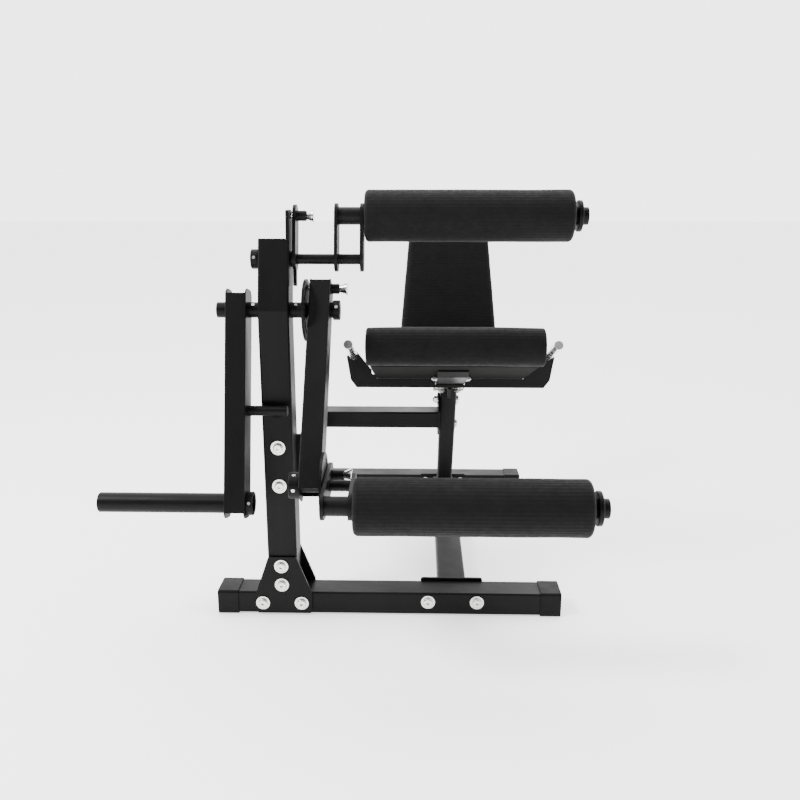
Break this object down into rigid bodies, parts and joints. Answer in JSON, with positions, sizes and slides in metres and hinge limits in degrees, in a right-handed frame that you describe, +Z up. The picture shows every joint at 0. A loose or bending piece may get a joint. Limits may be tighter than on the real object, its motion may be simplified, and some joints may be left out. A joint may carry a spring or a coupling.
{
  "type": "seated leg extension machine",
  "caption": "Plate-loaded seated leg extension and leg curl bench: weight lever on a side post, swing arm with a shin roller, thigh roller, ribbed seat and backrest.",
  "frame": {"origin": "middle of the machine's overall footprint, on the floor", "axes": "+Z up, +Y from the user's feet towards the backrest, +X from the weight post towards the seat"},
  "size_m": [1.181, 1.378, 1.0803],
  "materials": {
    "frame_paint": "satin black powder coat with a faint orange peel",
    "black_plastic": "fine-textured moulded black plastic",
    "zinc_steel": "bright zinc-plated steel",
    "chrome": "polished chrome",
    "seat_cover": "matt black upholstery with fine cross ribs",
    "pad_board": "black-stained plywood",
    "roller_foam": "matt black foam roller with a fine ribbed cover",
    "bumper_rubber": "moulded black rubber"
  },
  "bodies": {
    "frame": {"front_foot": "frame_paint", "rear_foot": "frame_paint", "front_foot_caps": "black_plastic", "rear_foot_caps": "black_plastic", "post_gussets": "frame_paint", "base_beam": "frame_paint", "main_post": "frame_paint", "tube_caps": "black_plastic", "post_bushes": "black_plastic", "stop_bumper": "bumper_rubber", "brace_tube": "frame_paint", "cross_tube": "frame_paint", "seat_post": "frame_paint", "seat_post_saddle": "frame_paint", "seat_rail": "frame_paint", "rail_side_screws": "zinc_steel", "seat_board": "pad_board", "seat_pad": "seat_cover", "handle_bracket": "frame_paint", "handles": "chrome", "backrest_pad": "seat_cover", "backrest_board": "pad_board", "backrest_tube": "frame_paint", "frame_bolts": "zinc_steel", "frame_washers": "zinc_steel", "frame_nuts": "zinc_steel", "thigh_index_plate": "frame_paint"},
    "weight_lever": {"lever_arm": "frame_paint", "stop_rod": "frame_paint", "plate_sleeve": "frame_paint", "sleeve_end_cap": "black_plastic", "sleeve_collar": "frame_paint", "main_axle": "frame_paint", "axle_end_collar": "frame_paint", "index_disc": "frame_paint", "lever_set_screws": "zinc_steel"},
    "swing_arm_body": {"swing_arm": "frame_paint", "sector_plate": "frame_paint", "crank_bush": "black_plastic", "swing_pin_barrel": "frame_paint"},
    "lower_crank": {"crank_rod": "frame_paint", "crank_plates": "frame_paint", "lower_roller_tube": "frame_paint", "crank_collars": "frame_paint", "crank_pin_barrel": "frame_paint", "lower_tube_plug": "black_plastic", "crank_set_screws": "zinc_steel"},
    "lower_roller": {"lower_foam_roller": "roller_foam"},
    "thigh_crank": {"thigh_bar": "frame_paint", "thigh_arm_plate": "frame_paint", "thigh_plates": "frame_paint", "thigh_roller_tube": "frame_paint", "thigh_collars": "frame_paint", "thigh_pin_barrel": "frame_paint", "thigh_tube_plug": "black_plastic", "thigh_set_screw": "zinc_steel"},
    "thigh_roller": {"thigh_foam_roller": "roller_foam"},
    "swing_pin": {"swing_pop_pin": "chrome"},
    "crank_pin": {"crank_pop_pin": "chrome"},
    "thigh_pin": {"thigh_pop_pin": "chrome"}
  },
  "joints": [
    {"name": "lever_swing", "type": "hinge", "parent": "frame", "child": "weight_lever", "pos_m": [-0.164, -0.274, 0.796], "axis": [-1, 0, 0], "range_deg": [0, 80]},
    {"name": "swing_arm_select", "type": "hinge", "parent": "weight_lever", "child": "swing_arm_body", "pos_m": [-0.0545, -0.274, 0.796], "axis": [-1, 0, 0], "range_deg": [-20, 40]},
    {"name": "lower_crank_select", "type": "hinge", "parent": "swing_arm_body", "child": "lower_crank", "pos_m": [-0.0545, -0.5205, 0.436], "axis": [-1, 0, 0], "range_deg": [-30, 30]},
    {"name": "lower_roller_spin", "type": "hinge", "parent": "lower_crank", "child": "lower_roller", "pos_m": [0.3015, -0.6265, 0.429], "axis": [-1, 0, 0], "continuous": true},
    {"name": "thigh_crank_select", "type": "hinge", "parent": "frame", "child": "thigh_crank", "pos_m": [-0.1175, -0.2435, 0.916], "axis": [1, 0, 0], "range_deg": [-25, 10]},
    {"name": "thigh_roller_spin", "type": "hinge", "parent": "thigh_crank", "child": "thigh_roller", "pos_m": [0.3015, -0.2181, 1.01788], "axis": [-1, 0, 0], "continuous": true},
    {"name": "swing_pin_pull", "type": "slide", "parent": "swing_arm_body", "child": "swing_pin", "axis": [1, 0, 0], "range_m": [0, 0.008], "stiffness_N_per_m": 400},
    {"name": "crank_pin_pull", "type": "slide", "parent": "lower_crank", "child": "crank_pin", "axis": [1, 0, 0], "range_m": [0, 0.008], "stiffness_N_per_m": 400},
    {"name": "thigh_pin_pull", "type": "slide", "parent": "thigh_crank", "child": "thigh_pin", "axis": [1, 0, 0], "range_m": [0, 0.008], "stiffness_N_per_m": 400}
  ]
}
